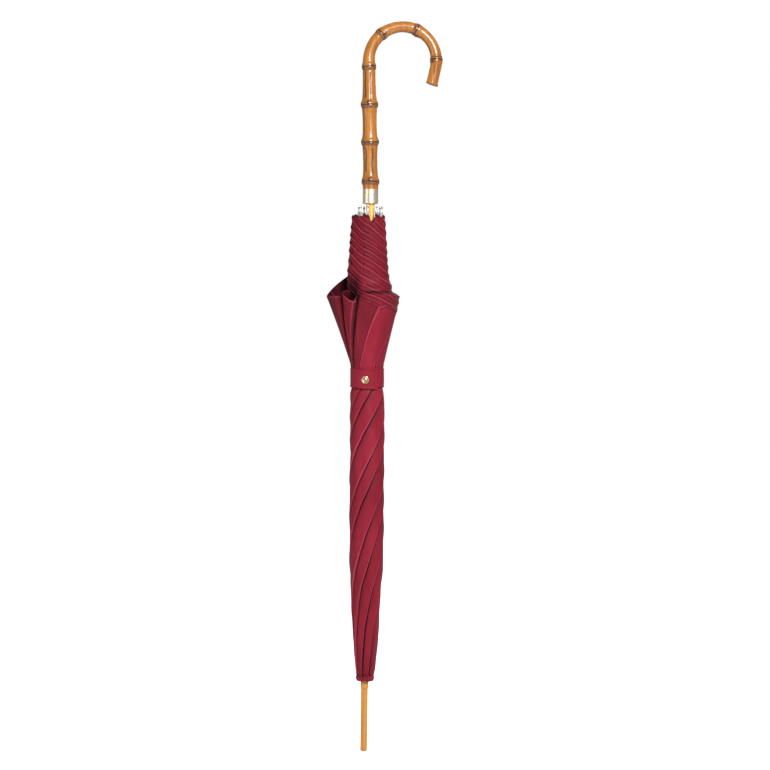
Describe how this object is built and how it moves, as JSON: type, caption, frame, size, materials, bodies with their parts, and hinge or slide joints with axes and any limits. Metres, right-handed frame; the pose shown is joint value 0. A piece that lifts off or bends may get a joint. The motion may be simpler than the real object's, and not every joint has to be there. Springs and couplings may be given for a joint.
{
  "type": "stick umbrella",
  "caption": "Closed stick umbrella with a bamboo crook handle, brass collar, furled satin canopy with strap and snap, and a steel rib frame that opens.",
  "frame": {"origin": "centre of the end of the wooden ferrule, on the shaft axis", "axes": "+Z along the shaft from the ferrule to the handle; the crook opens towards +X; the snap faces -Y"},
  "size_m": [0.1294, 0.085, 0.8947],
  "materials": {
    "shaft_wood": "varnished pale beech",
    "ferrule_wood": "varnished, orange",
    "bamboo": "glossy lacquered root bamboo",
    "collar_brass": "pale polished brass",
    "snap_brass": "polished brass",
    "canopy_cloth": "burgundy satin weave",
    "strap_cloth": "burgundy satin weave, doubled and hemmed",
    "rib_steel": "bright fluted steel",
    "tip_metal": "bright nickel",
    "spring_steel": "bright steel",
    "frame_metal": "satin brass"
  },
  "bodies": {
    "shaft": {"shaft": "shaft_wood", "shaft_pins": "spring_steel", "handle": "bamboo", "collar": "collar_brass", "ferrule": "ferrule_wood", "ferrule_collar": "ferrule_wood", "rosette": "canopy_cloth", "top_notch": "frame_metal", "notch_wire": "spring_steel"},
    "rib_1": {"rib_1": "rib_steel", "knee_rivet_1": "spring_steel", "rib_tip_1": "tip_metal", "strap_root": "strap_cloth", "snap_stud": "snap_brass"},
    "stretcher_1": {"stretcher_1": "rib_steel"},
    "gore_1": {"gore_1": "canopy_cloth"},
    "rib_2": {"rib_2": "rib_steel", "knee_rivet_2": "spring_steel", "rib_tip_2": "tip_metal"},
    "stretcher_2": {"stretcher_2": "rib_steel"},
    "gore_2": {"gore_2": "canopy_cloth"},
    "rib_3": {"rib_3": "rib_steel", "knee_rivet_3": "spring_steel", "rib_tip_3": "tip_metal"},
    "stretcher_3": {"stretcher_3": "rib_steel"},
    "gore_3": {"gore_3": "canopy_cloth"},
    "rib_4": {"rib_4": "rib_steel", "knee_rivet_4": "spring_steel", "rib_tip_4": "tip_metal"},
    "stretcher_4": {"stretcher_4": "rib_steel"},
    "gore_4": {"gore_4": "canopy_cloth"},
    "rib_5": {"rib_5": "rib_steel", "knee_rivet_5": "spring_steel", "rib_tip_5": "tip_metal"},
    "stretcher_5": {"stretcher_5": "rib_steel"},
    "gore_5": {"gore_5": "canopy_cloth"},
    "rib_6": {"rib_6": "rib_steel", "knee_rivet_6": "spring_steel", "rib_tip_6": "tip_metal"},
    "stretcher_6": {"stretcher_6": "rib_steel"},
    "gore_6": {"gore_6": "canopy_cloth"},
    "rib_7": {"rib_7": "rib_steel", "knee_rivet_7": "spring_steel", "rib_tip_7": "tip_metal"},
    "stretcher_7": {"stretcher_7": "rib_steel"},
    "gore_7": {"gore_7": "canopy_cloth"},
    "rib_8": {"rib_8": "rib_steel", "knee_rivet_8": "spring_steel", "rib_tip_8": "tip_metal"},
    "stretcher_8": {"stretcher_8": "rib_steel"},
    "gore_8": {"gore_8": "canopy_cloth"},
    "runner": {"runner": "frame_metal", "runner_wire": "spring_steel"},
    "top_spring": {"top_spring": "spring_steel"},
    "hand_spring": {"hand_spring": "spring_steel"},
    "strap_right": {"strap_right": "strap_cloth"},
    "strap_back": {"strap_back": "strap_cloth"},
    "strap_front": {"strap_front": "strap_cloth", "snap_cap": "snap_brass"}
  },
  "joints": [
    {"name": "rib_1_fold", "type": "hinge", "parent": "shaft", "child": "rib_1", "pos_m": [-0.00166, -0.00783, 0.092], "axis": [0.9781, -0.2079, 0], "range_deg": [0, 72]},
    {"name": "stretcher_1_swing", "type": "hinge", "parent": "rib_1", "child": "stretcher_1", "pos_m": [-0.00166, -0.00783, 0.356], "axis": [0.9781, -0.2079, 0], "range_deg": [-144, 0]},
    {"name": "gore_1_spread", "type": "hinge", "parent": "rib_1", "child": "gore_1", "pos_m": [0.00049, -0.00265, 0.08799], "axis": [-0.1513, 0.8164, -0.5573], "range_deg": [0, 52], "deforming": ["gore_1"]},
    {"name": "rib_2_fold", "type": "hinge", "parent": "shaft", "child": "rib_2", "pos_m": [0.00436, -0.00671, 0.092], "axis": [0.8387, 0.5446, 0], "range_deg": [0, 72]},
    {"name": "stretcher_2_swing", "type": "hinge", "parent": "rib_2", "child": "stretcher_2", "pos_m": [0.00436, -0.00671, 0.356], "axis": [0.8387, 0.5446, 0], "range_deg": [-144, 0]},
    {"name": "gore_2_spread", "type": "hinge", "parent": "rib_2", "child": "gore_2", "pos_m": [0.00222, -0.00152, 0.08799], "axis": [-0.6843, 0.4703, -0.5573], "range_deg": [0, 52], "deforming": ["gore_2"]},
    {"name": "rib_3_fold", "type": "hinge", "parent": "shaft", "child": "rib_3", "pos_m": [0.00783, -0.00166, 0.092], "axis": [0.2079, 0.9781, 0], "range_deg": [0, 72]},
    {"name": "stretcher_3_swing", "type": "hinge", "parent": "rib_3", "child": "stretcher_3", "pos_m": [0.00783, -0.00166, 0.356], "axis": [0.2079, 0.9781, 0], "range_deg": [-144, 0]},
    {"name": "gore_3_spread", "type": "hinge", "parent": "rib_3", "child": "gore_3", "pos_m": [0.00265, 0.00049, 0.08799], "axis": [-0.8164, -0.1513, -0.5573], "range_deg": [0, 52], "deforming": ["gore_3"]},
    {"name": "rib_4_fold", "type": "hinge", "parent": "shaft", "child": "rib_4", "pos_m": [0.00671, 0.00436, 0.092], "axis": [-0.5446, 0.8387, 0], "range_deg": [0, 72]},
    {"name": "stretcher_4_swing", "type": "hinge", "parent": "rib_4", "child": "stretcher_4", "pos_m": [0.00671, 0.00436, 0.356], "axis": [-0.5446, 0.8387, 0], "range_deg": [-144, 0]},
    {"name": "gore_4_spread", "type": "hinge", "parent": "rib_4", "child": "gore_4", "pos_m": [0.00152, 0.00222, 0.08799], "axis": [-0.4703, -0.6843, -0.5573], "range_deg": [0, 52], "deforming": ["gore_4"]},
    {"name": "rib_5_fold", "type": "hinge", "parent": "shaft", "child": "rib_5", "pos_m": [0.00166, 0.00783, 0.092], "axis": [-0.9781, 0.2079, 0], "range_deg": [0, 72]},
    {"name": "stretcher_5_swing", "type": "hinge", "parent": "rib_5", "child": "stretcher_5", "pos_m": [0.00166, 0.00783, 0.356], "axis": [-0.9781, 0.2079, 0], "range_deg": [-144, 0]},
    {"name": "gore_5_spread", "type": "hinge", "parent": "rib_5", "child": "gore_5", "pos_m": [-0.00049, 0.00265, 0.08799], "axis": [0.1513, -0.8164, -0.5573], "range_deg": [0, 52], "deforming": ["gore_5"]},
    {"name": "rib_6_fold", "type": "hinge", "parent": "shaft", "child": "rib_6", "pos_m": [-0.00436, 0.00671, 0.092], "axis": [-0.8387, -0.5446, 0], "range_deg": [0, 72]},
    {"name": "stretcher_6_swing", "type": "hinge", "parent": "rib_6", "child": "stretcher_6", "pos_m": [-0.00436, 0.00671, 0.356], "axis": [-0.8387, -0.5446, 0], "range_deg": [-144, 0]},
    {"name": "gore_6_spread", "type": "hinge", "parent": "rib_6", "child": "gore_6", "pos_m": [-0.00222, 0.00152, 0.08799], "axis": [0.6843, -0.4703, -0.5573], "range_deg": [0, 52], "deforming": ["gore_6"]},
    {"name": "rib_7_fold", "type": "hinge", "parent": "shaft", "child": "rib_7", "pos_m": [-0.00783, 0.00166, 0.092], "axis": [-0.2079, -0.9781, 0], "range_deg": [0, 72]},
    {"name": "stretcher_7_swing", "type": "hinge", "parent": "rib_7", "child": "stretcher_7", "pos_m": [-0.00783, 0.00166, 0.356], "axis": [-0.2079, -0.9781, 0], "range_deg": [-144, 0]},
    {"name": "gore_7_spread", "type": "hinge", "parent": "rib_7", "child": "gore_7", "pos_m": [-0.00265, -0.00049, 0.08799], "axis": [0.8164, 0.1513, -0.5573], "range_deg": [0, 52], "deforming": ["gore_7"]},
    {"name": "rib_8_fold", "type": "hinge", "parent": "shaft", "child": "rib_8", "pos_m": [-0.00671, -0.00436, 0.092], "axis": [0.5446, -0.8387, 0], "range_deg": [0, 72]},
    {"name": "stretcher_8_swing", "type": "hinge", "parent": "rib_8", "child": "stretcher_8", "pos_m": [-0.00671, -0.00436, 0.356], "axis": [0.5446, -0.8387, 0], "range_deg": [-144, 0]},
    {"name": "gore_8_spread", "type": "hinge", "parent": "rib_8", "child": "gore_8", "pos_m": [-0.00152, -0.00222, 0.08799], "axis": [0.4703, 0.6843, -0.5573], "range_deg": [0, 52], "deforming": ["gore_8"]},
    {"name": "runner_pivot", "type": "hinge", "parent": "stretcher_1", "child": "runner", "pos_m": [-0.00166, -0.00783, 0.62], "axis": [0.9781, -0.2079, 0], "range_deg": [0, 72]},
    {"name": "hand_spring_press", "type": "hinge", "parent": "shaft", "child": "hand_spring", "pos_m": [0.00056, -0.00305, 0.606], "axis": [-0.9833, -0.1822, 0], "range_deg": [0, 4.6], "stiffness_Nm_per_rad": 0.8, "springref_deg": -1.15, "deforming": ["hand_spring"]},
    {"name": "top_spring_press", "type": "hinge", "parent": "shaft", "child": "top_spring", "pos_m": [0.00056, -0.00305, 0.31426], "axis": [0.9833, 0.1822, 0], "range_deg": [0, 4.6], "stiffness_Nm_per_rad": 0.8, "springref_deg": -1.15, "deforming": ["top_spring"]},
    {"name": "strap_unwrap", "type": "hinge", "parent": "rib_1", "child": "strap_right", "pos_m": [0.01091, -0.01712, 0.457], "axis": [0, 0, -1], "range_deg": [0, 110], "deforming": ["strap_right"]},
    {"name": "strap_back_bend", "type": "hinge", "parent": "strap_right", "child": "strap_back", "pos_m": [0.00937, 0.01801, 0.457], "axis": [0, 0, -1], "range_deg": [0, 110], "deforming": ["strap_back"]},
    {"name": "strap_front_bend", "type": "hinge", "parent": "strap_back", "child": "strap_front", "pos_m": [-0.02028, -0.00089, 0.457], "axis": [0, 0, -1], "range_deg": [0, 110], "deforming": ["strap_front"]}
  ],
  "couplings": [
    {"joint": "stretcher_1_swing", "follows": "rib_1_fold", "ratio": -2},
    {"joint": "gore_1_spread", "follows": "rib_1_fold", "ratio": 0.72217},
    {"joint": "rib_2_fold", "follows": "rib_1_fold", "ratio": 1},
    {"joint": "stretcher_2_swing", "follows": "rib_1_fold", "ratio": -2},
    {"joint": "gore_2_spread", "follows": "rib_1_fold", "ratio": 0.72217},
    {"joint": "rib_3_fold", "follows": "rib_1_fold", "ratio": 1},
    {"joint": "stretcher_3_swing", "follows": "rib_1_fold", "ratio": -2},
    {"joint": "gore_3_spread", "follows": "rib_1_fold", "ratio": 0.72217},
    {"joint": "rib_4_fold", "follows": "rib_1_fold", "ratio": 1},
    {"joint": "stretcher_4_swing", "follows": "rib_1_fold", "ratio": -2},
    {"joint": "gore_4_spread", "follows": "rib_1_fold", "ratio": 0.72217},
    {"joint": "rib_5_fold", "follows": "rib_1_fold", "ratio": 1},
    {"joint": "stretcher_5_swing", "follows": "rib_1_fold", "ratio": -2},
    {"joint": "gore_5_spread", "follows": "rib_1_fold", "ratio": 0.72217},
    {"joint": "rib_6_fold", "follows": "rib_1_fold", "ratio": 1},
    {"joint": "stretcher_6_swing", "follows": "rib_1_fold", "ratio": -2},
    {"joint": "gore_6_spread", "follows": "rib_1_fold", "ratio": 0.72217},
    {"joint": "rib_7_fold", "follows": "rib_1_fold", "ratio": 1},
    {"joint": "stretcher_7_swing", "follows": "rib_1_fold", "ratio": -2},
    {"joint": "gore_7_spread", "follows": "rib_1_fold", "ratio": 0.72217},
    {"joint": "rib_8_fold", "follows": "rib_1_fold", "ratio": 1},
    {"joint": "stretcher_8_swing", "follows": "rib_1_fold", "ratio": -2},
    {"joint": "gore_8_spread", "follows": "rib_1_fold", "ratio": 0.72217},
    {"joint": "runner_pivot", "follows": "rib_1_fold", "ratio": 1},
    {"joint": "strap_back_bend", "follows": "strap_unwrap", "ratio": 1},
    {"joint": "strap_front_bend", "follows": "strap_unwrap", "ratio": 1}
  ]
}
